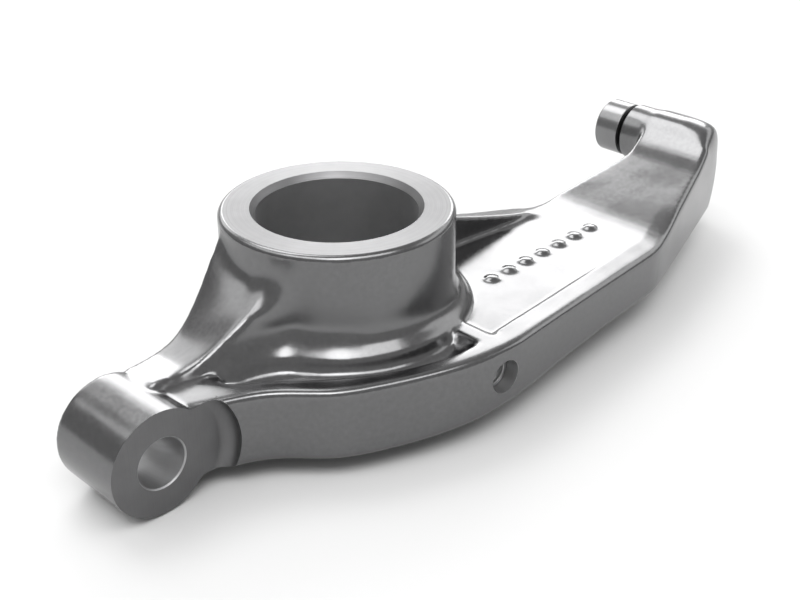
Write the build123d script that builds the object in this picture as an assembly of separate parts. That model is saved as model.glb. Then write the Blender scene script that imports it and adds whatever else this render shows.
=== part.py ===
from build123d import *
import math
import os

# Forged rocker arm lying with its shaft bore upright.
# Millimetres. Z is the shaft bore axis, pointing up. Heights below are measured from the lower
# machined hub face, and each finished piece is then lowered so that the origin is the bore's middle.
# X runs from the adjuster end (negative) to the valve end (positive).
# +Y is the working side: the valve tip and the adjuster both push that way.

# hub and shaft bore
BORE_D = 38.0
HUB_H = 46.0
HUB_D = 55.2
HUB_ROUND = 1.5
HUB_LOW_BREAK = 1.0
BORE_CHAMFER_W = 1.2
BORE_CHAMFER_H = 1.45

# arm levels
LAND_Z = 22.5
ARM_LOW_MAX = 9.5
RIM_ROUND = 1.5

# underside of the arm seen along Y, adjuster end to valve end
UNDERSIDE = [(-45.0, 4.9), (-15.0, 5.1), (20.0, 7.4), (60.0, 8.8), (105.0, 8.3)]

# adjuster boss: the bore runs along Y
ADJ_X = -63.2
ADJ_Z = 12.8
ADJ_BOSS_D = 24.6
ADJ_BORE_D = 11.6
ADJ_NEAR_Y = -14.7
ADJ_LEN = 20.6
SPOTFACE_D = 35.0
SPOTFACE_ROUND = 3.0

# valve end
TIP_X = 130.5
TIP_Z = 27.0
TIP_D = 15.7
TIP_END_Y = 17.0
TIP_BOSS_D = 16.6
NOSE_R = 8.5
NOSE_OVER = 11.0
NOSE_TOP_R = 14.0
NOSE_TOP_DEG = 25.0
NOSE_END_DEG = 68.0
TIP_BOSS_Y = 7.2
TIP_NECK_D = 13.4
TIP_NECK_L = 1.0
TIP_CHAMFER = 0.9
TIP_SHANK_D = 9.5
TIP_SHANK_L = 15.0
TIP_EDGE = 0.5
RAMP_X = 80.5
RAMP_DEG = 9.3
RAMP_BEND_R = 55.0
RAMP_BLEND_R = 28.0
NOSE_X = TIP_X + NOSE_OVER

# pocket, rib, web
POCKET_Z = 18.3
RIB_X0 = 6.5
RIB_X1 = 11.5
WEB_DROP = 1.1
WEB_END_X = 72.0
WEB_OVER = 4.0
COLLAR_D = 62.6
COLLAR_Z = 24.0
COLLAR_BREAK = 1.2
COLLAR_BLEND_Z = 30.5
SKIRT_X = -42.2

# saddle between the adjuster boss and the hub: its back edge, and where the loft runs on past it
SADDLE_EDGE_Y = 9.5
SADDLE_BACK_Y = 14.0

# oil drilling closed by a plug
OIL_X = 9.3
OIL_Z = 14.8
OIL_D = 3.5
PLUG_D = 8.2
PLUG_T = 3.2
PLUG_FACE_Y = -41.6
PLUG_BREAK = 0.4


def round_corner(a, b, c, r):
    """Tangent points and mid point of a radius r at corner b between lines a-b and b-c."""
    va = Vector(*a) - Vector(*b)
    vc = Vector(*c) - Vector(*b)
    ua = va.normalized()
    uc = vc.normalized()
    half = math.radians(ua.get_angle(uc)) / 2
    reach = r / math.tan(half)
    mid_dir = (ua + uc).normalized()
    mid = Vector(*b) + mid_dir * (r / math.sin(half) - r)
    return Vector(*b) + ua * reach, mid, Vector(*b) + uc * reach


# outer face of the rim seen from above, adjuster end to valve end
WALL_LEFT = (-64.0, -11.0)
WALL_CURVE = [
    (-44.8, -19.1), (-38.0, -23.5), (-31.0, -30.5), (-22.0, -35.9),
    (-9.0, -41.2), (2.0, -44.1), (12.0, -44.9), (24.0, -44.1),
]
WALL_BEND = (76.5, -39.3)
WALL_BEND_R = 35.0
NOSE_CORNER_Y = -16.6
NOSE_CORNER_R = 8.0


def outline():
    """The whole arm from above, without the hub."""
    corner = (NOSE_X, NOSE_CORNER_Y)
    last = WALL_CURVE[-1]
    b0, bm, b1 = round_corner(last, WALL_BEND, corner, WALL_BEND_R)
    n0, nm, n1 = round_corner(WALL_BEND, corner, (NOSE_X, 0), NOSE_CORNER_R)
    slope = Vector(*WALL_CURVE[0]) - Vector(*WALL_LEFT)
    run = Vector(*WALL_BEND) - Vector(*last)
    back = Spline(
        (126.0, 0.0), (115.0, -2.2), (100.0, -1.9), (84.0, -0.2), (70.0, 1.5), (44.0, 2.4), (20.0, 5.0),
        tangents=((-1, -0.02), (-1, 0.15)),
    )
    left = Spline((-18.0, 12.4), (-27.0, 11.3), (-48.0, 7.6), (-64.0, 4.8), tangents=((-1, -0.1), (-1, -0.17)))
    edges = [
        Line(WALL_LEFT, WALL_CURVE[0]),
        Spline(*WALL_CURVE, tangents=(slope.normalized(), run.normalized())),
        Line(last, b0),
        ThreePointArc(b0, bm, b1),
        Line(b1, n0),
        ThreePointArc(n0, nm, n1),
        Line(n1, (NOSE_X, 0)),
        Line((NOSE_X, 0), (126.0, 0.0)),
        back,
        Line((20.0, 5.0), (-18.0, 12.4)),
        left,
        Line((-64.0, 4.8), WALL_LEFT),
    ]
    return make_face(Curve() + edges)


def side_profile():
    """Arm seen along Y: level land, ramp up to the valve end, round nose, slightly arched underside."""
    a = math.radians(RAMP_DEG)
    d = Vector(math.cos(a), math.sin(a))
    n = Vector(-math.sin(a), math.cos(a))
    start = Vector(RAMP_X, LAND_Z)
    reach = RAMP_BEND_R * math.tan(a / 2)
    bend0 = start - Vector(reach, 0)
    bend1 = start + d * reach
    bend_mid = bend0 + Vector(RAMP_BEND_R * math.sin(a / 2), RAMP_BEND_R * (1 - math.cos(a / 2)))
    c = Vector(TIP_X, TIP_Z)
    r = NOSE_R
    below = -(c - start).dot(n)
    span = math.sqrt((r + RAMP_BLEND_R) ** 2 - (RAMP_BLEND_R + below) ** 2)
    foot = start + d * ((c - start).dot(d) - span)
    f = foot + n * RAMP_BLEND_R
    touch = c + (f - c).normalized() * r
    to_foot = (foot - f).normalized()
    to_touch = (touch - f).normalized()
    blend_mid = f + (to_foot + to_touch).normalized() * RAMP_BLEND_R
    top_mid = (math.atan2(touch.Y - c.Y, touch.X - c.X) + math.pi / 2) / 2
    turn = math.radians(NOSE_TOP_DEG)
    over_c = c + Vector(0, r - NOSE_TOP_R)
    over_mid = over_c + Vector(math.sin(turn / 2), math.cos(turn / 2)) * NOSE_TOP_R
    over_end = over_c + Vector(math.sin(turn), math.cos(turn)) * NOSE_TOP_R
    last = math.radians(NOSE_END_DEG)
    end_r = (NOSE_OVER - NOSE_TOP_R * math.sin(turn)) / (math.sin(last) - math.sin(turn))
    end_c = over_end - Vector(math.sin(turn), math.cos(turn)) * end_r
    middle = (turn + last) / 2
    end_mid = end_c + Vector(math.sin(middle), math.cos(middle)) * end_r
    end_low = end_c + Vector(math.sin(last), math.cos(last)) * end_r
    low_l = (-70.0, UNDERSIDE[0][1])
    low_r = (NOSE_X, UNDERSIDE[-1][1])
    edges = [
        Line((-70.0, LAND_Z), bend0),
        ThreePointArc(bend0, bend_mid, bend1),
        Line(bend1, foot),
        ThreePointArc(foot, blend_mid, touch),
        ThreePointArc(touch, c + Vector(r * math.cos(top_mid), r * math.sin(top_mid)), c + Vector(0, r)),
        ThreePointArc(c + Vector(0, r), over_mid, over_end),
        ThreePointArc(over_end, end_mid, end_low),
        Line(end_low, low_r),
        Line(low_r, UNDERSIDE[-1]),
        Spline(*reversed(UNDERSIDE), tangents=((-1, 0), (-1, 0))),
        Line(UNDERSIDE[0], low_l),
        Line(low_l, (-70.0, LAND_Z)),
    ]
    return make_face(Curve() + edges)


XZ = Plane(origin=(0, 0, 0), x_dir=(1, 0, 0), z_dir=(0, -1, 0))


def wall_edges(blank, z_min, z_max):
    """Edges that run along the outer wall between two heights, without the short cross edges."""
    found = []
    for edge in blank.edges():
        m = edge @ 0.5
        t = edge % 0.5
        across = abs(t.Y) > 0.999 or abs(t.Z) > 0.9
        if m.Y < -9 and m.X > -63 and not across and z_min < m.Z < z_max:
            found.append(edge)
    return found


def arm_blank():
    """Outline and side profile together, with the outer wall's top and bottom edges rounded over."""
    plan = extrude(outline(), 60)
    side = extrude(XZ * side_profile(), 30, both=True)
    side = side + Pos(0, -25, 0) * side
    blank = plan & side
    blank = fillet(wall_edges(blank, LAND_Z - 0.1, 60), RIM_ROUND)
    return fillet(wall_edges(blank, 0, ARM_LOW_MAX), RIM_ROUND)


def hub():
    """Turned hub, with the bore's chamfers and the collar where it meets the arm."""
    r = HUB_D / 2
    b = BORE_D / 2
    e = HUB_ROUND
    k = COLLAR_BREAK
    rc = COLLAR_D / 2
    low = HUB_LOW_BREAK
    edges = [
        Line((b, BORE_CHAMFER_H), (b + BORE_CHAMFER_W, 0)),
        Line((b + BORE_CHAMFER_W, 0), (r - low, 0)),
        Line((r - low, 0), (r, low)),
        Line((r, low), (r, 12)),
        Line((r, 12), (rc, 12)),
        Line((rc, 12), (rc, COLLAR_Z - k)),
        Line((rc, COLLAR_Z - k), (rc - k, COLLAR_Z)),
        Spline((rc - k, COLLAR_Z), (r, COLLAR_BLEND_Z), tangents=((-1, 0.25), (0, 1))),
        Line((r, COLLAR_BLEND_Z), (r, HUB_H - e)),
        ThreePointArc(
            (r, HUB_H - e),
            (r - e * (1 - math.sqrt(0.5)), HUB_H - e * (1 - math.sqrt(0.5))),
            (r - e, HUB_H),
        ),
        Line((r - e, HUB_H), (b + BORE_CHAMFER_W, HUB_H)),
        Line((b + BORE_CHAMFER_W, HUB_H), (b, HUB_H - BORE_CHAMFER_H)),
        Line((b, HUB_H - BORE_CHAMFER_H), (b, BORE_CHAMFER_H)),
    ]
    return revolve(XZ * make_face(Curve() + edges), Axis.Z)


def rim_inner():
    """Inner edge of the rim's land, from the pocket's left end to the end of the web."""
    return [
        (-40.2, -15.2), (-34.0, -20.2), (-22.4, -29.2), (-15.2, -33.6), (-4.0, -37.7),
        (7.5, -38.6), (20.0, -37.8), (43.4, -36.2), (66.0, -34.0),
    ]


def pocket():
    """Cutter for the trough between the collar and the rim."""
    pts = rim_inner()
    edges = [
        Spline((-43.4, -11.0), *pts[:5], (RIB_X0, -38.6), tangents=((0, -1), (1, -0.02))),
        Line((RIB_X0, -38.6), (RIB_X0, -20.0)),
        Line((RIB_X0, -20.0), (-20.0, -6.0)),
        Line((-20.0, -6.0), (-43.4, -6.0)),
        Line((-43.4, -6.0), (-43.4, -11.0)),
    ]
    return extrude(Pos(0, 0, POCKET_Z) * make_face(Curve() + edges), 12)


def web_recess():
    """Cutter for the shallow recess beside the hub; its floor runs out level with the ramp."""
    pts = rim_inner()
    end = WEB_END_X + WEB_OVER
    slope = WEB_DROP / (WEB_END_X - RIB_X1)
    edges = [
        Spline((RIB_X1, -38.5), pts[6], pts[7], pts[8], (end, -32.8), tangents=((1, 0.05), (1, 0.14))),
        Line((end, -32.8), (end, -1.8)),
        Spline((end, -1.8), (60.0, -1.6), (43.0, 0.4), (24.0, 2.3), tangents=((-1, 0), (-1, 0.12))),
        Line((24.0, 2.3), (RIB_X1, -18.0)),
        Line((RIB_X1, -18.0), (RIB_X1, -38.5)),
    ]
    plan = extrude(make_face(Curve() + edges), 40)
    floor = Polyline(
        (RIB_X1 - 1, LAND_Z - WEB_DROP - slope), (end + 1, LAND_Z + slope * (WEB_OVER + 1)),
        (end + 1, 40), (RIB_X1 - 1, 40), close=True,
    )
    wedge = extrude(XZ * make_face(floor), 50)
    wedge = wedge + Pos(0, 20, 0) * wedge
    return plan & wedge


def flange():
    """Back rib: level with the web near the ramp, rising towards the hub."""
    front = Polyline((20.0, 8.0), (20.0, 0.5), (43.0, -1.4), (60.0, -3.4), (80.0, -3.2), (80.0, 8.0), close=True)
    top = [
        Line((18.0, 16.0), (84.0, 16.0)),
        Line((84.0, 16.0), (84.0, LAND_Z - 1.2)),
        Spline((84.0, LAND_Z - 1.2), (74.0, LAND_Z - 0.2), (60.5, LAND_Z + 2.4), (44.0, LAND_Z + 6.5),
               (18.0, LAND_Z + 15.0)),
        Line((18.0, LAND_Z + 15.0), (18.0, 16.0)),
    ]
    bar = extrude(make_face(front), 50) & extrude(outline(), 60)
    side = extrude(XZ * make_face(Curve() + top), 10, both=True)
    return bar & side


def saddle():
    """Bulkhead from the adjuster boss up to the hub: ruled between a front ridge and a back edge."""
    # X, front foot Y, ridge Y, ridge Z, back Z
    stations = [
        (-60.0, -5.0, -5.0, 22.8, 22.8),
        (-50.0, -6.0, -5.5, 24.6, 23.2),
        (-43.8, -7.2, -6.2, 26.4, 24.2),
        (-37.0, -9.6, -7.2, 30.4, 29.0),
        (-31.7, -11.0, -7.9, 33.4, 35.6),
        (-26.5, -12.0, -8.6, 36.4, 41.8),
        (-18.0, -13.0, -9.6, 40.5, 44.0),
    ]
    faces = []
    for x, foot_y, ridge_y, ridge_z, back_z in stations:
        back_y = SADDLE_BACK_Y
        rise = (back_z - ridge_z) * (back_y - ridge_y) / (SADDLE_EDGE_Y - ridge_y)
        ring = Polyline(
            (x, foot_y, 18.0), (x, ridge_y, ridge_z), (x, back_y, ridge_z + rise), (x, back_y, 18.0), close=True
        )
        faces.append(make_face(ring))
    return loft(faces) & extrude(outline(), 60)


def skirt():
    """Ledge that carries the collar on along the saddle's foot, short of the pocket's left end."""
    tip = (SKIRT_X, -9.6)
    edges = [
        Spline(tip, (-34.0, -10.8), (-23.0, -19.6), tangents=((1, 0), (0.7, -0.71))),
        Line((-23.0, -19.6), (-18.0, -8.0)),
        Line((-18.0, -8.0), (SKIRT_X, -4.5)),
        Line((SKIRT_X, -4.5), tip),
    ]
    ledge = extrude(Pos(0, 0, POCKET_Z - 1) * make_face(Curve() + edges), COLLAR_Z - 0.6 - POCKET_Z + 1)
    return ledge


def along_y(d, x, z, y0, y1):
    """Round bar along Y from y0 to y1."""
    bar = Cylinder(d / 2, y1 - y0, align=(Align.CENTER, Align.CENTER, Align.MIN))
    return Pos(x, y0, z) * Rot(-90, 0, 0) * bar


def spotface():
    """Cutter for the lock nut's seat on the boss, with the corner radius the cutter leaves."""
    r = SPOTFACE_D / 2
    k = SPOTFACE_ROUND
    tool = Cylinder(r, 20, align=(Align.CENTER, Align.CENTER, Align.MIN))
    tool = fillet(tool.edges().group_by(Axis.Z)[0], k)
    return Pos(ADJ_X, ADJ_NEAR_Y, ADJ_Z) * Rot(90, 0, 0) * tool


def rocker_arm():
    arm = arm_blank()
    arm = arm - pocket() - web_recess()
    arm = arm + hub() + flange() + skirt() + saddle()
    arm = arm + along_y(ADJ_BOSS_D, ADJ_X, ADJ_Z, ADJ_NEAR_Y, ADJ_NEAR_Y + ADJ_LEN)
    arm = arm + along_y(TIP_BOSS_D, TIP_X, TIP_Z, -6.0, TIP_BOSS_Y)
    arm = arm - Cylinder(BORE_D / 2, 3 * HUB_H)
    arm = arm - spotface()
    arm = arm - along_y(ADJ_BORE_D, ADJ_X, ADJ_Z, -40, 40)
    arm = arm - along_y(TIP_SHANK_D, TIP_X, TIP_Z, TIP_BOSS_Y - TIP_SHANK_L, TIP_BOSS_Y + 20)
    arm = arm - along_y(PLUG_D, OIL_X, OIL_Z, -60, PLUG_FACE_Y + PLUG_T)
    arm = arm - along_y(OIL_D, OIL_X, OIL_Z, -50, -5)
    return arm


def valve_tip():
    """Hardened tip: flat end, chamfered root, neck and the shank pressed into the nose."""
    r = TIP_D / 2
    e = TIP_EDGE
    head0 = TIP_BOSS_Y + TIP_NECK_L
    edges = [
        Line((0, TIP_BOSS_Y - TIP_SHANK_L), (TIP_SHANK_D / 2, TIP_BOSS_Y - TIP_SHANK_L)),
        Line((TIP_SHANK_D / 2, TIP_BOSS_Y - TIP_SHANK_L), (TIP_SHANK_D / 2, TIP_BOSS_Y)),
        Line((TIP_SHANK_D / 2, TIP_BOSS_Y), (TIP_NECK_D / 2, TIP_BOSS_Y)),
        Line((TIP_NECK_D / 2, TIP_BOSS_Y), (TIP_NECK_D / 2, head0)),
        Line((TIP_NECK_D / 2, head0), (r, head0 + TIP_CHAMFER)),
        Line((r, head0 + TIP_CHAMFER), (r, TIP_END_Y - e)),
        Line((r, TIP_END_Y - e), (r - e, TIP_END_Y)),
        Line((r - e, TIP_END_Y), (0, TIP_END_Y)),
        Line((0, TIP_END_Y), (0, TIP_BOSS_Y - TIP_SHANK_L)),
    ]
    turned = revolve(make_face(Curve() + edges), Axis.Y)
    return Pos(TIP_X, 0, TIP_Z) * turned


def oil_gallery_plug():
    """Press plug closing the drilling's mouth."""
    plug = Cylinder(PLUG_D / 2, PLUG_T, align=(Align.CENTER, Align.CENTER, Align.MIN))
    plug = chamfer(plug.edges().group_by(Axis.Z)[-1], PLUG_BREAK)
    return Pos(OIL_X, PLUG_FACE_Y + PLUG_T, OIL_Z) * Rot(90, 0, 0) * plug


os.makedirs("parts", exist_ok=True)
for node, shape in (
    ("rocker_arm", rocker_arm()),
    ("valve_tip", valve_tip()),
    ("oil_gallery_plug", oil_gallery_plug()),
):
    print(node, "volume", round(shape.volume, 1), "valid", shape.is_valid, "solids", len(shape.solids()))
    print("   ", shape.bounding_box())
    export_step(Pos(0, 0, -HUB_H / 2) * shape, f"parts/{node}.step")
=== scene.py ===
import math

import bmesh
import bpy
import numpy as np
from mathutils import Matrix, Vector
from mathutils.bvhtree import BVHTree


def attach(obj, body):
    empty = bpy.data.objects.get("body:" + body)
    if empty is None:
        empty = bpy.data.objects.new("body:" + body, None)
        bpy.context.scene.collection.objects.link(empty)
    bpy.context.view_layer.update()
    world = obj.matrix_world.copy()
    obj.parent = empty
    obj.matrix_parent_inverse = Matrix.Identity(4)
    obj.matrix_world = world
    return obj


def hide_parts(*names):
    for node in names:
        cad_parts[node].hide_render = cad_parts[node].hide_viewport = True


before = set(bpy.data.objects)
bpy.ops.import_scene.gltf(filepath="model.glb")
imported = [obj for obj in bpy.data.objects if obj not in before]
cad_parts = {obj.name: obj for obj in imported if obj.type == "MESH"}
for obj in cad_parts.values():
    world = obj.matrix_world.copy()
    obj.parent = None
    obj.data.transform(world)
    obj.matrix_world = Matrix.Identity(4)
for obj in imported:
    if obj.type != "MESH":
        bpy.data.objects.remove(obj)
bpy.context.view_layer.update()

# Sizes below are in millimetres in the row frame:
# Z along the shaft bore, +X to the valve end, +Y to the working side.
MM = 1000.0
HUB_R = 27.6
HUB_TOP = 23.0
HUB_ROUND = 1.5
BORE_R = 19.0
BORE_FLARE = 1.2
BORE_FLARE_H = 1.45
ADJ = (-63.2, -14.7, -10.2)
ADJ_FAR_Y = 5.9
ADJ_LEN = 20.6
ADJ_BOSS_R = 12.3
ADJ_BORE_R = 5.8
SPOT_R = 17.5
SPOT_ROUND = 3.0
TIP = (130.5, 7.2, 4.0)
TIP_BOSS_R = 8.3
TIP_R = 7.85
TIP_END_Y = 17.0
TIP_NECK_R = 6.7
TIP_NECK_UNDERCUT = 1.2
TIP_NECK_L = 1.0
TIP_SHANK_R = 4.75
TIP_SHANK_L = 15.0
OIL = (9.3, -41.6, -8.2)
OIL_R = 1.75
PLUG_R = 4.1
PLUG_T = 3.2
LAND_Z = -0.5
WEB_DROP = 1.1
WEB_X0 = 11.5
WEB_X1 = 72.0
# width of the soft slope along the recess, and how far the land tips at most
RECESS_SLOPE = 1.7
LAND_TIP = 0.62
FLOOR_Z = -23.05

# straight part of the rim's outer wall, beside the lock nut's seat
WALL_A = (-64.0, -11.0)
WALL_B = (-44.8, -19.1)

# row of plain raised pips on the web
PIP_COUNT = 7
PIP_X0 = 33.0
PIP_PITCH = 6.6
PIP_Y = -19.6
PIP_R = 1.55
PIP_ROOT = 0.8
PIP_WALL = 0.25
PIP_EDGE = 0.4
PIP_TOP_R = 1.15
PIP_HEIGHT = 0.72

# waviness of the forged skin as (wave length, seed, height), and how far the skin is drawn in for it
SKIN_WAVES = ((17.0, 4, 0.016), (7.0, 9, 0.005))
SKIN_INSET = 0.02

FINE_VOXEL = 0.40
VOXEL = FINE_VOXEL
# the arm is lightened to this many triangles before its faces and bores are cut
TRIANGLES = 180000

# an edge between two finishes is sharp above this angle
FINISH_EDGE_DEG = 12

# Light and camera: places and sizes in metres, angles in degrees, the lens in millimetres
AIM = Vector((0.03, -0.005, 0.0))
SOFTBOX_DISTANCE = 2.4
WORLD_STOPS = [(0.0, 0.60), (0.4, 0.50), (0.75, 0.50), (1.0, 0.75)]
FLOOR_TONE = 0.61
FLOOR_RADIUS = 4.0
CAMERA_AT = (-0.1774, -0.1963, 0.1407)
CAMERA_LENS = 56.27
CAMERA_TILT = 61.622
CAMERA_TURN = -45.25


# Mesh helpers

def add_object(name, data):
    obj = bpy.data.objects.new(name, data)
    bpy.context.scene.collection.objects.link(obj)
    return obj


def mesh_object(name, verts, faces):
    mesh = bpy.data.meshes.new(name)
    mesh.from_pydata([tuple(v) for v in verts], [], faces)
    mesh.validate()
    mesh.update()
    return add_object(name, mesh)


def lathe(name, profile, origin=(0, 0, 0), axis="Z", steps=160):
    """Closed turned solid. The profile lists (radius, height), and starts and ends on the axis."""
    verts, faces, rings = [], [], []
    for r, h in profile:
        if r < 1e-9:
            rings.append([len(verts)])
            verts.append(Vector((0, 0, h)))
        else:
            first = len(verts)
            for i in range(steps):
                a = 2 * math.pi * i / steps
                verts.append(Vector((r * math.cos(a), r * math.sin(a), h)))
            rings.append(list(range(first, first + steps)))
    for low, high in zip(rings, rings[1:]):
        if len(low) == 1 and len(high) == 1:
            continue
        for i in range(steps):
            j = (i + 1) % steps
            if len(low) == 1:
                faces.append((low[0], high[j], high[i]))
            elif len(high) == 1:
                faces.append((low[i], low[j], high[0]))
            else:
                faces.append((low[i], low[j], high[j], high[i]))
    turn = Matrix.Identity(3)
    if axis == "Y":
        turn = Matrix(((1, 0, 0), (0, 0, 1), (0, -1, 0)))
    elif axis == "-Y":
        turn = Matrix(((1, 0, 0), (0, 0, -1), (0, 1, 0)))
    verts = [turn @ v + Vector(origin) for v in verts]
    obj = mesh_object(name, verts, faces)
    outward(obj)
    return obj


def outward(obj):
    bm = bmesh.new()
    bm.from_mesh(obj.data)
    bmesh.ops.recalc_face_normals(bm, faces=bm.faces)
    bm.to_mesh(obj.data)
    bm.free()


def arc(cx, cy, r, a0, a1, n):
    return [(cx + r * math.cos(math.radians(a0 + (a1 - a0) * i / n)),
             cy + r * math.sin(math.radians(a0 + (a1 - a0) * i / n))) for i in range(n + 1)]


def read(items, key, width=1, dtype=float):
    """One number, or one row of numbers, for each item."""
    out = np.empty(len(items) * width, dtype=dtype)
    items.foreach_get(key, out)
    return out.reshape(-1, width) if width > 1 else out


def coords(mesh):
    return read(mesh.vertices, "co", 3)


def set_coords(mesh, co):
    mesh.vertices.foreach_set("co", np.ascontiguousarray(co, dtype=np.float32).ravel())
    mesh.update()


def apply_modifiers(obj):
    dg = bpy.context.evaluated_depsgraph_get()
    mesh = bpy.data.meshes.new_from_object(obj.evaluated_get(dg))
    old = obj.data
    obj.modifiers.clear()
    obj.data = mesh
    bpy.data.meshes.remove(old)


def cut(obj, tool):
    mod = obj.modifiers.new("cut", "BOOLEAN")
    mod.operation = "DIFFERENCE"
    mod.solver = "MANIFOLD"
    mod.object = tool
    before = len(obj.data.polygons)
    apply_modifiers(obj)
    if len(obj.data.polygons) == before:
        print("cut changed nothing:", tool.name)
    bpy.data.objects.remove(tool)


def vertex_normals(mesh):
    return read(mesh.vertices, "normal", 3)


def surface_tree(mesh):
    return BVHTree.FromPolygons([v.co for v in mesh.vertices],
                                [tuple(p.vertices) for p in mesh.polygons])


def relax(mesh, rounds, hollow, crown, weight=None, slide=0.5):
    """Moves points towards their neighbours: by hollow where it dips, by crown where it bulges."""
    e = read(mesh.edges, "vertices", 2, np.int64)
    n = len(mesh.vertices)
    if weight is None:
        weight = np.ones(n)
    active = weight > 0.002
    e = e[active[e[:, 0]] | active[e[:, 1]]]
    used, flat = np.unique(e.ravel(), return_inverse=True)
    e = flat.reshape(-1, 2)
    m = len(used)
    degree = np.bincount(e.ravel(), minlength=m).astype(float)
    w = weight[used][:, None]
    whole = coords(mesh)
    co = whole[used]
    for i in range(rounds):
        if i % 4 == 0:
            whole[used] = co
            set_coords(mesh, whole)
            nrm = vertex_normals(mesh)[used]
        pull = np.empty_like(co)
        for k in range(3):
            pull[:, k] = np.bincount(e[:, 0], weights=co[e[:, 1], k], minlength=m)
            pull[:, k] += np.bincount(e[:, 1], weights=co[e[:, 0], k], minlength=m)
        pull = pull / degree[:, None] - co
        along = np.einsum("ij,ij->i", pull, nrm)[:, None]
        rate = np.where(along > 0, hollow, crown)
        co = co + (nrm * along * rate + (pull - nrm * along) * slide) * w
    whole[used] = co
    set_coords(mesh, whole)


def settle(mesh, tree, near, far):
    """Puts points that lie close to the true surface back on it, and leaves the blends as they are."""
    co = coords(mesh)
    for i, p in enumerate(co):
        hit, _, _, d = tree.find_nearest(Vector(p), far)
        if hit is None:
            continue
        t = min(max((d - near) / (far - near), 0.0), 1.0)
        w = t * t * (3 - 2 * t)
        co[i] = np.array(hit) * (1 - w) + p * w
    set_coords(mesh, co)


def ramp(x, a, b):
    """0 at a, 1 at b, smooth between them."""
    t = np.clip((x - a) / (b - a), 0, 1)
    return t * t * (3 - 2 * t)


def ball(co, centre, inner, outer):
    """1 within inner of the centre, 0 beyond outer."""
    return 1 - ramp(np.linalg.norm(co - np.array(centre), axis=1), inner, outer)


def waves(co, size, seed):
    """Smooth seeded waviness, one value for each point."""
    rng = np.random.default_rng(seed)
    total = np.zeros(len(co))
    for _ in range(14):
        d = rng.normal(size=3)
        d /= np.linalg.norm(d)
        k = 2 * math.pi / (size * rng.uniform(0.7, 1.6))
        total += np.sin(co @ d * k + rng.uniform(0, 2 * math.pi))
    return total / math.sqrt(7)


# Blank: the arm as it comes from the forge, before its faces and bores are cut

def cad_copy(node):
    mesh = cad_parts[node].data.copy()
    bm = bmesh.new()
    bm.from_mesh(mesh)
    bmesh.ops.remove_doubles(bm, verts=bm.verts, dist=1e-7)
    bm.to_mesh(mesh)
    bm.free()
    set_coords(mesh, coords(mesh) * MM)
    return add_object(node + "_blank", mesh)


def prism(name, outline, z0, z1, bevel=()):
    """Upright prism; bevel names the sides whose long edges are rounded over."""
    n = len(outline)
    verts = [(x, y, z0) for x, y in outline] + [(x, y, z1) for x, y in outline]
    faces = [tuple(range(n))[::-1], tuple(range(n, 2 * n))]
    faces += [(i, (i + 1) % n, n + (i + 1) % n, n + i) for i in range(n)]
    obj = mesh_object(name, verts, faces)
    if bevel:
        bm = bmesh.new()
        bm.from_mesh(obj.data)
        bm.verts.ensure_lookup_table()
        sides = []
        for i in bevel:
            for k in (0, n):
                a, b = bm.verts[i + k], bm.verts[(i + 1) % n + k]
                sides.append(bm.edges.get((a, b)))
        bmesh.ops.bevel(bm, geom=sides, offset=1.5, segments=5, profile=0.5, affect="EDGES")
        bm.to_mesh(obj.data)
        bm.free()
    outward(obj)
    return obj


def hull(name, points):
    """Closed convex solid round a few points."""
    bm = bmesh.new()
    for q in points:
        bm.verts.new(q)
    bmesh.ops.convex_hull(bm, input=bm.verts)
    mesh = bpy.data.meshes.new(name)
    bm.to_mesh(mesh)
    bm.free()
    obj = add_object(name, mesh)
    outward(obj)
    return obj


def wall_y(tree, x, z):
    """Y of the rim's outer wall."""
    hit = tree.ray_cast(Vector((x, -80, z)), Vector((0, 1, 0)))
    return hit[0].y


def join(name, objs):
    """One mesh from several, without merging anything."""
    verts, faces = [], []
    for o in objs:
        first = len(verts)
        verts += [v.co.copy() for v in o.data.vertices]
        faces += [tuple(first + i for i in p.vertices) for p in o.data.polygons]
        bpy.data.objects.remove(o)
    return mesh_object(name, verts, faces)


def voxel(obj, size):
    mod = obj.modifiers.new("voxel", "REMESH")
    mod.mode = "VOXEL"
    mod.voxel_size = size
    mod.adaptivity = 0
    apply_modifiers(obj)


def web_z(x):
    return LAND_Z - WEB_DROP * (WEB_X1 - x) / (WEB_X1 - WEB_X0)


def recess_y(x):
    """Front edge of the web's recess, where the rim's land begins."""
    fit = np.polyfit((11.5, 20.0, 43.4, 66.0, 76.0), (-38.5, -37.8, -36.2, -34.0, -32.8), 3)
    return np.polyval(fit, x)


def shape_rim(mesh, tree):
    """Clean edge and soft slope along the recess, and a land that tips outwards towards the ramp."""
    co = coords(mesh)
    up = vertex_normals(mesh)[:, 2]
    x, y, z = co.T
    d = y - recess_y(x)
    near = (x > 12.6) & (x < 75.5) & (np.abs(z + 1.1) < 1.5) & (np.abs(d) < 0.22) & (up > 0.1)
    co[near, 1] -= d[near]
    x, y, z = co.T
    d = y - recess_y(x)
    near = (x > 12.0) & (x < 76.0) & (z > -3.2) & (z < 0.7) & (d > -1.6) & (d < 1.9) & (up > 0.1)
    rise = np.clip(1 - d / RECESS_SLOPE, 0, 1) ** 2
    want = np.where(d <= 0, LAND_Z, web_z(x) + (LAND_Z - web_z(x)) * rise)
    w = ramp(x, 12.0, 14.5) * (1 - ramp(x, 72.0, 76.0)) * (1 - ramp(np.abs(d - 0.1), 1.3, 1.7))
    co[near, 2] += ((want - z) * w)[near]
    xs = np.arange(-44.0, 136.0, 1.0)
    wall = np.interp(x, xs, [wall_y(tree, a, -8.0) for a in xs])
    out = y - wall
    tip = LAND_TIP * ramp(x, 20.0, 85.0) * (1 - ramp(x, 84.0, 96.0)) * np.clip((5.6 - out) / 4.0, 0, 1)
    co[:, 2] -= tip * ramp(z, -7.0, -2.5) * (up > -0.3)
    set_coords(mesh, co)


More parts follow.
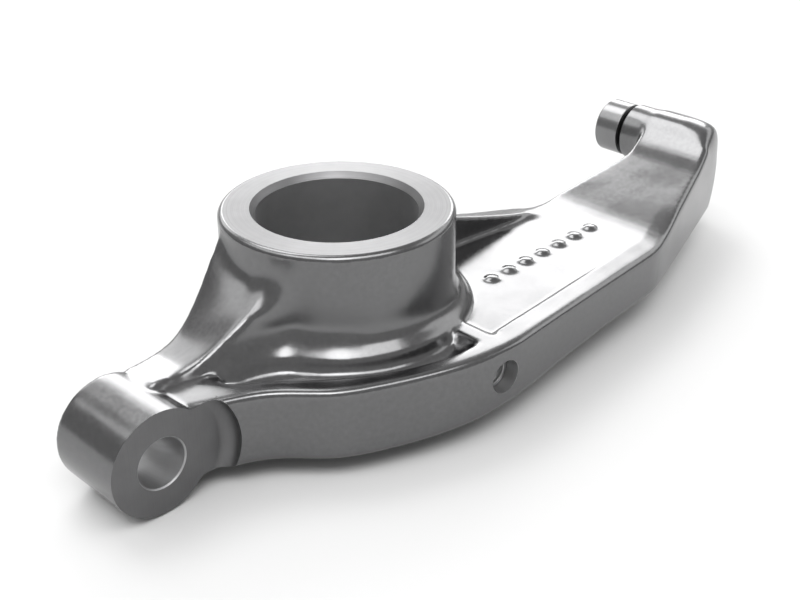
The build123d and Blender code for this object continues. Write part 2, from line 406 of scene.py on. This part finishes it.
def filled_blank(arm, tree):
    """The arm with its bores and cut places filled, its ridge run out and its pips, as loose shells."""
    high = HUB_TOP + 2.0
    fill = [arm]
    fill.append(lathe("fill_hub", [(0, -high), (HUB_R, -high), (HUB_R, high), (0, high)]))
    prof = [(0, -2.4), (ADJ_BOSS_R, -2.4), (ADJ_BOSS_R, ADJ_LEN), (0, ADJ_LEN)]
    fill.append(lathe("fill_boss", prof, ADJ, "Y"))
    root_r = TIP_BOSS_R - 2.5
    prof = [(0, -16), (root_r, -16), (root_r, -9), (TIP_BOSS_R, -8), (TIP_BOSS_R, 0.9), (0, 0.9)]
    fill.append(lathe("fill_tip", prof, TIP, "Y"))
    # the rim's wall and land carried on over the lock nut's seat
    x0, x1 = ADJ[0] + 4.0, -43.8
    slope = (WALL_B[1] - WALL_A[1]) / (WALL_B[0] - WALL_A[0])
    wall = [(x, WALL_A[1] + slope * (x - WALL_A[0])) for x in (x0, WALL_B[0])]
    wall += [(x1, wall_y(tree, x1, -9.0))]
    fill.append(prism("fill_spot", wall + [(x1, -13.0), (x0, -8.0)], -18.1, LAND_Z, bevel=(0, 1)))
    # the wall carried on over the plug's hole
    half = 5.0
    xs = [OIL[0] + d for d in (-5.2, -3.5, -1.8, 0.0, 1.8, 3.5, 5.2)]
    wall = [(x, wall_y(tree, x, OIL[2] + half)) for x in xs]
    wall += [(xs[-1], -37.5), (xs[0], -37.5)]
    fill.append(prism("fill_oil", wall, OIL[2] - half, OIL[2] + half))
    # the saddle's ridge runs out along the hub's wall
    fill.append(hull("fill_ridge", [(-34.0, -7.5, 9.0), (-24.6, -12.3, 16.4), (-25.0, -12.0, -3.0),
                                    (-27.0, -4.0, 15.5), (-21.0, -8.0, 8.0), (-33.0, -7.0, 0.0)]))
    for i in range(PIP_COUNT):
        px = PIP_X0 + PIP_PITCH * i
        prof = [(0, -PIP_ROOT), (PIP_R, -PIP_ROOT), (PIP_R, PIP_WALL)]
        prof += arc(PIP_TOP_R, PIP_WALL, PIP_EDGE, 0, 90, 4) + [(0, PIP_HEIGHT)]
        fill.append(lathe("pip_%d" % i, prof, (px, PIP_Y, web_z(px)), steps=40))
    return join("arm_casting", fill)


def forging_blends(mesh, scale):
    """Hollows open out into forging radii and ridges stay. Each weight marks a place on the arm."""
    co = coords(mesh)
    x, y, z = co.T
    hub_side = ramp(z, -0.3, 0.6) * (1 - ramp(x, 12.0, 20.0)) * ramp(x, -52.0, -42.0)
    hub_side *= 1 - ramp(z, 20.0, 22.0)
    trough = ramp(-z, 0.1, 0.8) * (1 - ramp(-z, 6.0, 8.0)) * (1 - ramp(x, 6.6, 7.2))
    trough *= ramp(x, -46.0, -44.0)
    trough *= 1 - ramp(y, -7.0, -5.0)
    rib = ramp(x, 18.0, 22.0) * (1 - ramp(x, 76.0, 84.0)) * ramp(y, -7.0, -5.0) * ramp(z, -3.0, -2.0)
    relax(mesh, round(60 * scale), 0.9, 0.02, np.maximum.reduce([hub_side, rib * 0.15]))
    relax(mesh, round(180 * scale), 0.9, 0.01, trough)
    ridge = ramp(z, 0.5, 1.5) * ramp(x, -52.0, -48.0) * (1 - ramp(x, -22.0, -16.0))
    ridge *= 1 - ramp(z, 18.0, 20.0)
    relax(mesh, round(25 * scale), 0.9, 0.5, ridge)
    soft = np.maximum.reduce([
        ball(co, (124.0, -1.0, 1.0), 3.0, 7.0) * 0.8,
        ball(co, (-53.0, -3.0, 0.0), 4.0, 9.0) * 0.25,
        ball(co, (74.0, -2.0, -0.5), 3.0, 10.0) * 0.8,
    ])
    relax(mesh, round(110 * scale), 0.9, 0.35, soft)
    # the saddle's ridge dies out on the hub's wall, and the collar's bead runs along its foot
    fade = ball(co, (-26.0, -10.0, 14.2), 1.0, 9.0) * (1 - ramp(z, 20.0, 22.0))
    fade = np.maximum(fade, ball(co, (-41.0, -9.5, 0.4), 1.0, 5.0) * 0.7)
    bead = ramp(x, -44.0, -40.0) * (1 - ramp(x, -19.0, -13.0)) * ramp(z, 0.0, 0.7)
    bead *= 1 - ramp(z, 3.0, 6.0)
    bead *= 1 - ramp(y, -7.5, -6.5)
    relax(mesh, round(160 * scale), 0.9, 0.8, np.maximum(fade, bead * 0.6))
    # the tip's boss flows into the nose
    root = (1 - ramp(np.hypot(x - TIP[0], z - TIP[2]), 10.0, 14.0)) * ramp(y, -7.0, -3.0)
    root *= 1 - ramp(y, 5.0, 6.5)
    relax(mesh, round(120 * scale), 0.9, 0.05, root)
    # nose: the rim's edge opens into a large radius round the corner
    edge = ball(co, (131.0, -19.5, 11.0), 4.0, 9.5)
    edge = np.maximum(edge, ball(co, (137.0, -15.5, 7.0), 4.0, 9.0))
    edge = np.maximum(edge, ball(co, (138.5, -16.0, -12.5), 2.0, 7.0) * 0.7)
    relax(mesh, round(200 * scale), 0.6, 0.8, edge)


def fine_surface(mesh):
    """Triangulates, and returns what carry_normals needs of the surface."""
    bm = bmesh.new()
    bm.from_mesh(mesh)
    bmesh.ops.triangulate(bm, faces=bm.faces)
    bm.to_mesh(mesh)
    bm.free()
    co = coords(mesh)
    tri = read(mesh.loops, "vertex_index", 1, np.int64).reshape(-1, 3)
    return BVHTree.FromPolygons([Vector(v) for v in co], tri.tolist()), co, tri, vertex_normals(mesh)


def casting():
    arm = cad_copy("rocker_arm")
    blank = filled_blank(arm, surface_tree(arm.data))
    true = surface_tree(blank.data)
    voxel(blank, VOXEL)
    mesh = blank.data
    scale = (FINE_VOXEL / VOXEL) ** 2
    relax(mesh, max(4, round(12 * scale)), 0.9, 0.12)
    settle(mesh, true, 0.05, 0.22)
    forging_blends(mesh, scale)
    relax(mesh, 6, 0.45, 0.45)
    shape_rim(mesh, true)
    relax(mesh, 2, 0.4, 0.3)
    co = coords(mesh)
    nrm = vertex_normals(mesh)
    bump = sum(waves(co, size, seed) * height for size, seed, height in SKIN_WAVES)
    set_coords(mesh, co + nrm * (bump - SKIN_INSET)[:, None])
    fine = fine_surface(mesh)
    count = len(mesh.polygons)
    if count > TRIANGLES:
        mod = blank.modifiers.new("lighten", "DECIMATE")
        mod.ratio = TRIANGLES / count
        apply_modifiers(blank)
    print("casting", count, "->", len(blank.data.polygons))
    return blank, fine


# Machining: each tool is a turned solid that leaves the shape the real cutter leaves

def machine(blank):
    r, top, e = HUB_R, HUB_TOP, HUB_ROUND
    for name, s in (("face_top", 1), ("face_low", -1)):
        edge = arc(r - e, top - e, e, 90, 0, 10)
        prof = [(0, top)] + edge + [(r + 6, top - e - 0.001), (r + 6, top + 6), (0, top + 6)]
        cut(blank, lathe(name, [(a, s * b) for a, b in prof], steps=256))
    k = BORE_FLARE / BORE_FLARE_H
    low, high = top - BORE_FLARE_H, top + 2.0
    wide = BORE_R + k * (high - low)
    prof = [(0, -high), (wide, -high), (BORE_R, -low), (BORE_R, low), (wide, high), (0, high)]
    cut(blank, lathe("bore", prof, steps=256))
    flat_r = SPOT_R - SPOT_ROUND
    prof = [(0, 0), (flat_r, 0)] + arc(flat_r, SPOT_ROUND, SPOT_ROUND, -90, 0, 10)[1:]
    cut(blank, lathe("spotface", prof + [(SPOT_R, 26), (0, 26)], ADJ, "-Y", steps=200))
    b, m = ADJ_BORE_R, 0.3
    length = ADJ_FAR_Y - ADJ[1]
    prof = [(0, -2), (b + m + 2, -2), (b + m, 0), (b, m), (b, length - m), (b + m, length),
            (b + m + 2, length + 2), (0, length + 2)]
    cut(blank, lathe("adjuster_bore", prof, ADJ, "Y", steps=128))
    cut(blank, lathe("tip_face", [(0, 0), (10, 0), (10, 5), (0, 5)], TIP, "Y", steps=128))
    prof = [(0, -TIP_SHANK_L), (TIP_SHANK_R, -TIP_SHANK_L), (TIP_SHANK_R, 2), (0, 2)]
    cut(blank, lathe("tip_hole", prof, TIP, "Y"))
    mouth = 3.25
    prof = [(0, -PLUG_T), (PLUG_R, -PLUG_T), (PLUG_R, mouth), (PLUG_R + 2, mouth + 2.2),
            (PLUG_R + 2, 20), (0, 20)]
    cut(blank, lathe("plug_seat", prof, OIL, "-Y", steps=96))
    cut(blank, lathe("oil_hole", [(0, 3.0), (OIL_R, 3.0), (OIL_R, 26), (0, 26)], OIL, "Y", steps=48))


def slots_by_place(obj):
    """0 forged skin, 1 machined faces, 2 bores, whose steel is painted lighter against the shade inside
    them.
    """
    mesh = obj.data
    c = read(mesh.polygons, "center", 3)
    d = read(mesh.polygons, "normal", 3)
    slot = np.zeros(len(mesh.polygons), dtype=np.int32)
    rho = np.hypot(c[:, 0], c[:, 1])
    slot[(np.abs(c[:, 2]) > HUB_TOP - 0.03) & (rho < HUB_R)] = 1
    slot[(np.abs(c[:, 2]) > HUB_TOP - BORE_FLARE_H) & (rho < BORE_R + BORE_FLARE + 0.02)] = 1
    slot[(np.abs(c[:, 2]) < HUB_TOP - BORE_FLARE_H) & (rho < BORE_R + 0.02)] = 2
    rho = np.hypot(c[:, 0] - ADJ[0], c[:, 2] - ADJ[2])
    slot[(np.abs(c[:, 1] - ADJ[1]) < 0.02) & (rho < SPOT_R - SPOT_ROUND + 0.1)] = 1
    q = np.hypot(rho - (SPOT_R - SPOT_ROUND), (ADJ[1] - c[:, 1]) - SPOT_ROUND)
    slot[(c[:, 1] < ADJ[1]) & (c[:, 1] > ADJ[1] - 10) & (np.abs(rho - SPOT_R) < 0.04)] = 1
    slot[(c[:, 1] < ADJ[1] + 0.01) & (c[:, 1] > ADJ[1] - SPOT_ROUND)
         & (np.abs(q - SPOT_ROUND) < 0.06)] = 1
    slot[(rho < ADJ_BORE_R + 0.28) & (c[:, 1] > ADJ[1]) & (c[:, 1] < ADJ_FAR_Y)
         & (np.abs(d[:, 1]) < 0.9)] = 2
    rho = np.hypot(c[:, 0] - TIP[0], c[:, 2] - TIP[2])
    slot[(c[:, 1] > TIP[1] - 0.03) & (rho < TIP_BOSS_R + 0.3)] = 1
    rho = np.hypot(c[:, 0] - OIL[0], c[:, 2] - OIL[2])
    slot[(rho < PLUG_R + 0.6) & (c[:, 1] > -46) & (c[:, 1] < -16) & (np.abs(d[:, 1]) < 0.95)] = 2
    mesh.polygons.foreach_set("material_index", slot)


def smooth_by_angle(obj, degrees):
    """Smooth shading, but sharp where the surface turns by more than degrees. Between two
    finishes FINISH_EDGE_DEG is enough."""
    mesh = obj.data
    bm = bmesh.new()
    bm.from_mesh(mesh)
    limit = math.radians(degrees)
    for f in bm.faces:
        f.smooth = True
    for e in bm.edges:
        e.smooth = not (len(e.link_faces) == 2 and e.calc_face_angle(0) > limit)
        if len(e.link_faces) == 2 and e.link_faces[0].material_index != e.link_faces[1].material_index:
            if e.calc_face_angle(0) > math.radians(FINISH_EDGE_DEG):
                e.smooth = False
    bm.to_mesh(mesh)
    bm.free()
    mod = obj.modifiers.new("weighted", "WEIGHTED_NORMAL")
    mod.keep_sharp = True
    mod.weight = 60
    apply_modifiers(obj)


def carry_normals(obj, fine):
    """The forged skin keeps the shading of the fine surface that it was lightened from."""
    tree, co, tri, nrm = fine
    mesh = obj.data
    here = coords(mesh)
    found = [tree.find_nearest(Vector(v), 0.3) for v in here]
    index = np.array([f[2] if f[2] is not None else -1 for f in found])
    hit = np.array([tuple(f[0]) if f[0] is not None else (0.0, 0.0, 0.0) for f in found])
    a, b, c = (co[tri[index, k]] for k in range(3))
    v0, v1, v2 = b - a, c - a, hit - a
    d00, d01, d11 = (np.einsum("ij,ij->i", p, q) for p, q in ((v0, v0), (v0, v1), (v1, v1)))
    d20, d21 = (np.einsum("ij,ij->i", v2, q) for q in (v0, v1))
    den = np.maximum(d00 * d11 - d01 * d01, 1e-12)
    w1, w2 = (d11 * d20 - d01 * d21) / den, (d00 * d21 - d01 * d20) / den
    w = np.clip(np.stack([1 - w1 - w2, w1, w2], axis=1), 0, 1)
    new = sum(nrm[tri[index, k]] * w[:, k:k + 1] for k in range(3))
    new /= np.maximum(np.linalg.norm(new, axis=1), 1e-9)[:, None]
    old = read(mesh.corner_normals, "vector", 3, np.float32)
    vert = read(mesh.loops, "vertex_index", 1, np.int64)
    slot = read(mesh.polygons, "material_index", 1, np.int64)
    size = read(mesh.polygons, "loop_total", 1, np.int64)
    face = read(mesh.polygons, "normal", 3)
    owner = np.repeat(np.arange(len(size)), size)
    # the hub's turned edge keeps its own shading
    turned = np.abs(here[:, 2]) > HUB_TOP - HUB_ROUND - 0.3
    turned &= np.hypot(here[:, 0], here[:, 1]) < HUB_R + 0.3
    good = (slot[owner] == 0) & (index[vert] >= 0) & ~turned[vert]
    good &= np.einsum("ij,ij->i", new[vert], face[owner]) > 0.8
    mesh.normals_split_custom_set(np.where(good[:, None], new[vert], old).tolist())


def to_metres(obj):
    set_coords(obj.data, coords(obj.data) / MM)


# Materials

def new_material(name):
    mat = bpy.data.materials.new(name)
    mat.use_nodes = True
    nt = mat.node_tree
    bsdf = nt.nodes["Principled BSDF"]
    bsdf.inputs["Metallic"].default_value = 1.0
    return mat, nt, bsdf


def place(nt):
    """Object coordinates in millimetres."""
    tc = nt.nodes.new("ShaderNodeTexCoord")
    mp = nt.nodes.new("ShaderNodeMapping")
    mp.inputs["Scale"].default_value = (MM, MM, MM)
    nt.links.new(tc.outputs["Object"], mp.inputs["Vector"])
    return mp.outputs["Vector"]


def noise(nt, vec, scale, detail=4.0, rough=0.55):
    n = nt.nodes.new("ShaderNodeTexNoise")
    n.inputs["Scale"].default_value = scale
    n.inputs["Detail"].default_value = detail
    n.inputs["Roughness"].default_value = rough
    nt.links.new(vec, n.inputs["Vector"])
    return n.outputs["Fac"]


def spread(nt, value, low, high, out_low, out_high):
    m = nt.nodes.new("ShaderNodeMapRange")
    for key, v in (("From Min", low), ("From Max", high), ("To Min", out_low), ("To Max", out_high)):
        m.inputs[key].default_value = v
    nt.links.new(value, m.inputs["Value"])
    return m.outputs["Result"]


def blend_colour(nt, fac, a, b):
    mix = nt.nodes.new("ShaderNodeValToRGB")
    for mark, pos, colour in zip(mix.color_ramp.elements, (0.3, 0.7), (a, b)):
        mark.color = (*colour, 1)
        mark.position = pos
    nt.links.new(fac, mix.inputs["Fac"])
    return mix.outputs["Color"]


def vector_math(nt, operation, source, operand=None):
    n = nt.nodes.new("ShaderNodeVectorMath")
    n.operation = operation
    if operand is not None:
        n.inputs[1].default_value = operand
    nt.links.new(source, n.inputs[0])
    return n.outputs


def bumped(nt, bsdf, parts):
    """Chain of bumps, each a (height, distance in millimetres, strength)."""
    normal = None
    for height, distance, strength in parts:
        b = nt.nodes.new("ShaderNodeBump")
        b.inputs["Strength"].default_value = strength
        b.inputs["Distance"].default_value = distance / MM
        nt.links.new(height, b.inputs["Height"])
        if normal is not None:
            nt.links.new(normal, b.inputs["Normal"])
        normal = b.outputs["Normal"]
    nt.links.new(normal, bsdf.inputs["Normal"])


def forged_steel():
    """Forging's satin skin with soft mottling and shallow pits."""
    mat, nt, bsdf = new_material("forged_steel_skin")
    v = place(nt)
    broad = noise(nt, v, 0.07, 3)
    fine = noise(nt, v, 0.9, 5, 0.6)
    grit = noise(nt, v, 3.2, 3, 0.6)
    tone = blend_colour(nt, fine, (0.152, 0.152, 0.154), (0.174, 0.174, 0.176))
    nt.links.new(tone, bsdf.inputs["Base Color"])
    mix = nt.nodes.new("ShaderNodeMath")
    mix.operation = "ADD"
    nt.links.new(spread(nt, broad, 0.35, 0.65, 0.17, 0.22), mix.inputs[0])
    nt.links.new(spread(nt, fine, 0.3, 0.7, 0.0, 0.04), mix.inputs[1])
    nt.links.new(mix.outputs[0], bsdf.inputs["Roughness"])
    pits = nt.nodes.new("ShaderNodeTexVoronoi")
    pits.feature = "F1"
    pits.inputs["Scale"].default_value = 0.55
    nt.links.new(v, pits.inputs["Vector"])
    dots = spread(nt, pits.outputs["Distance"], 0.0, 0.16, 0.0, 1.0)
    swell = noise(nt, v, 0.13, 3, 0.45)
    bumped(nt, bsdf, [(swell, 0.30, 0.05), (dots, 0.02, 0.06), (grit, 0.005, 0.08)])
    return mat


def machined_steel(name, axis, origin, base, rough, anis, pitch):
    """Turned or ground face: fine rings round its axis, and a soft change of tone."""
    mat, nt, bsdf = new_material(name)
    v = place(nt)
    across = tuple(0.0 if k == axis else 1.0 for k in range(3))
    along = tuple(1.0 if k == axis else 0.0 for k in range(3))
    shift = vector_math(nt, "SUBTRACT", v, origin)[0]
    flat = vector_math(nt, "MULTIPLY", shift, across)[0]
    length = vector_math(nt, "LENGTH", flat)["Value"]
    rings = nt.nodes.new("ShaderNodeTexNoise")
    rings.noise_dimensions = "1D"
    rings.inputs["Scale"].default_value = 1.0 / pitch
    rings.inputs["Detail"].default_value = 3.0
    nt.links.new(length, rings.inputs["W"])
    cloud = noise(nt, v, 0.22, 4)
    tone = blend_colour(nt, cloud, tuple(0.94 * b for b in base), tuple(1.04 * b for b in base))
    nt.links.new(tone, bsdf.inputs["Base Color"])
    gloss = spread(nt, rings.outputs["Fac"], 0.3, 0.7, rough - 0.05, rough + 0.05)
    nt.links.new(gloss, bsdf.inputs["Roughness"])
    bsdf.inputs["Anisotropic"].default_value = anis
    tangent = vector_math(nt, "CROSS_PRODUCT", flat, along)[0]
    nt.links.new(tangent, bsdf.inputs["Tangent"])
    bumped(nt, bsdf, [(rings.outputs["Fac"], 0.010, 0.30), (noise(nt, v, 1.4, 4, 0.6), 0.010, 0.25)])
    return mat


skin = forged_steel()
faced = machined_steel("machined_steel_face", 2, (0, 0, 0), (0.165, 0.165, 0.167), 0.43, 0.35, 0.35)
# the bores get a much lighter copy of the machined steel: painted light that lifts the shade inside the
# bores
bored_painted_lighter = machined_steel("machined_steel_bore_painted_lighter", 2, (0, 0, 0), (0.42, 0.42, 0.424), 0.50, 0.2, 0.4)
ground = machined_steel("hardened_steel_turned", 1, TIP, (0.21, 0.21, 0.212), 0.26, 0.3, 0.3)
pressed = machined_steel("plug_steel_turned", 1, OIL, (0.30, 0.30, 0.30), 0.30, 0.3, 0.3)

arm, fine = casting()
machine(arm)
arm.data.materials.clear()
for m in (skin, faced, bored_painted_lighter):
    arm.data.materials.append(m)
slots_by_place(arm)
smooth_by_angle(arm, 32)
carry_normals(arm, fine)
to_metres(arm)
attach(arm, "root")
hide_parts("rocker_arm")


# Valve tip: turned head with a broken edge, over a narrow neck, and its shank in the nose

def finish_turned(obj, material):
    obj.data.materials.append(material)
    smooth_by_angle(obj, 30)
    to_metres(obj)
    return obj


def valve_stub():
    head = TIP_NECK_L
    end = TIP_END_Y - TIP[1]
    r = TIP_R
    # the shank is a hair smaller than its hole
    shank = TIP_SHANK_R - 0.02
    foot = -TIP_SHANK_L + 0.05
    neck = TIP_NECK_R - TIP_NECK_UNDERCUT
    prof = [(0, foot), (shank, foot), (shank, 0.0), (neck, 0.0), (neck, head)]
    prof += [(r - 0.25, head + 0.75), (r - 0.06, head + 0.95), (r, head + 1.2)]
    prof += arc(r - 0.7, end - 0.7, 0.7, 0, 90, 7)
    prof += [(0, end)]
    return finish_turned(lathe("valve_tip_stub", prof, TIP, "Y", steps=160), ground)


stub = valve_stub()
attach(stub, "root")
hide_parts("valve_tip")


# Gallery plug: shallow cup with a rounded lip

def plug_cup():
    # the plug is a hair smaller than its hole
    r = PLUG_R - 0.01
    t = PLUG_T - 0.02
    prof = [(0, -t), (r, -t)] + arc(r - 0.4, -0.4, 0.4, 0, 90, 5) + arc(r - 0.9, -0.35, 0.35, 90, 180, 4)
    prof += [(r - 1.3, -0.5), (0, -0.55)]
    return finish_turned(lathe("oil_plug_cup", prof, OIL, "-Y", steps=96), pressed)


cup = plug_cup()
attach(cup, "root")
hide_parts("oil_gallery_plug")


# Floor, light and camera

def floor():
    r, n, z = FLOOR_RADIUS, 96, FLOOR_Z / MM
    turns = [2 * math.pi * i / n for i in range(n)]
    verts = [(0, 0, z)] + [(r * math.cos(a), r * math.sin(a), z) for a in turns]
    obj = mesh_object("studio_floor", verts, [(0, i + 1, (i + 1) % n + 1) for i in range(n)])
    mat = bpy.data.materials.new("pale_floor")
    mat.use_nodes = True
    bsdf = mat.node_tree.nodes["Principled BSDF"]
    bsdf.inputs["Base Color"].default_value = (FLOOR_TONE, FLOOR_TONE, FLOOR_TONE, 1)
    bsdf.inputs["Roughness"].default_value = 1.0
    bsdf.inputs["Specular IOR Level"].default_value = 0.0
    obj.data.materials.append(mat)


def heading(az, el):
    """Unit vector; azimuth 0 is +Y and 90 is +X."""
    a, e = math.radians(az), math.radians(el)
    return Vector((math.sin(a) * math.cos(e), math.cos(a) * math.cos(e), math.sin(e)))


def softbox(name, az, el, width, height, radiance):
    light = bpy.data.lights.new(name, "AREA")
    light.shape = "RECTANGLE"
    light.size, light.size_y = width, height
    light.energy = radiance * math.pi * width * height
    obj = add_object(name, light)
    obj.location = AIM + heading(az, el) * SOFTBOX_DISTANCE
    obj.rotation_mode = "QUATERNION"
    obj.rotation_quaternion = (-heading(az, el)).to_track_quat("-Z", "Y")


def studio_world():
    """Grey all round, lightest towards the back, behind the arm as the camera sees it."""
    world = bpy.data.worlds.new("studio")
    world.use_nodes = True
    bpy.context.scene.world = world
    nt = world.node_tree
    background = nt.nodes["Background"]
    tc = nt.nodes.new("ShaderNodeTexCoord")
    toward = vector_math(nt, "DOT_PRODUCT", tc.outputs["Generated"], heading(30, 25))["Value"]
    shades = nt.nodes.new("ShaderNodeValToRGB")
    marks = shades.color_ramp.elements
    for pos, _ in WORLD_STOPS[1:-1]:
        marks.new(pos)
    for mark, (pos, val) in zip(marks, WORLD_STOPS):
        mark.position, mark.color = pos, (val, val, val, 1)
    half = nt.nodes.new("ShaderNodeMapRange")
    half.inputs["From Min"].default_value = -1.0
    nt.links.new(toward, half.inputs["Value"])
    nt.links.new(half.outputs["Result"], shades.inputs["Fac"])
    nt.links.new(shades.outputs["Color"], background.inputs["Color"])
    background.inputs["Strength"].default_value = 1.0


floor()
studio_world()
softbox("back_panel", 46, 23.5, 1.96, 0.92, 5.3)
softbox("back_side", 10, 26, 1.20, 0.92, 2.3)
softbox("left_box", -48, 46, 1.6, 1.0, 1.7)
softbox("right_box", 106, 30, 2.4, 1.0, 1.4)
softbox("top_box", 8, 60, 1.2, 1.0, 4.5)
softbox("front_left", -110, 61, 2.2, 1.12, 3.3)
softbox("front_right", -164, 60, 2.2, 1.12, 3.2)

camera = bpy.data.cameras.new("camera")
camera.lens = CAMERA_LENS
camera.sensor_width = 36
camera.sensor_fit = "HORIZONTAL"
camera.clip_start = 0.01
camera_object = add_object("camera", camera)
camera_object.location = CAMERA_AT
camera_object.rotation_euler = (math.radians(CAMERA_TILT), 0, math.radians(CAMERA_TURN))
bpy.context.scene.camera = camera_object

bpy.context.scene.view_settings.view_transform = "Standard"
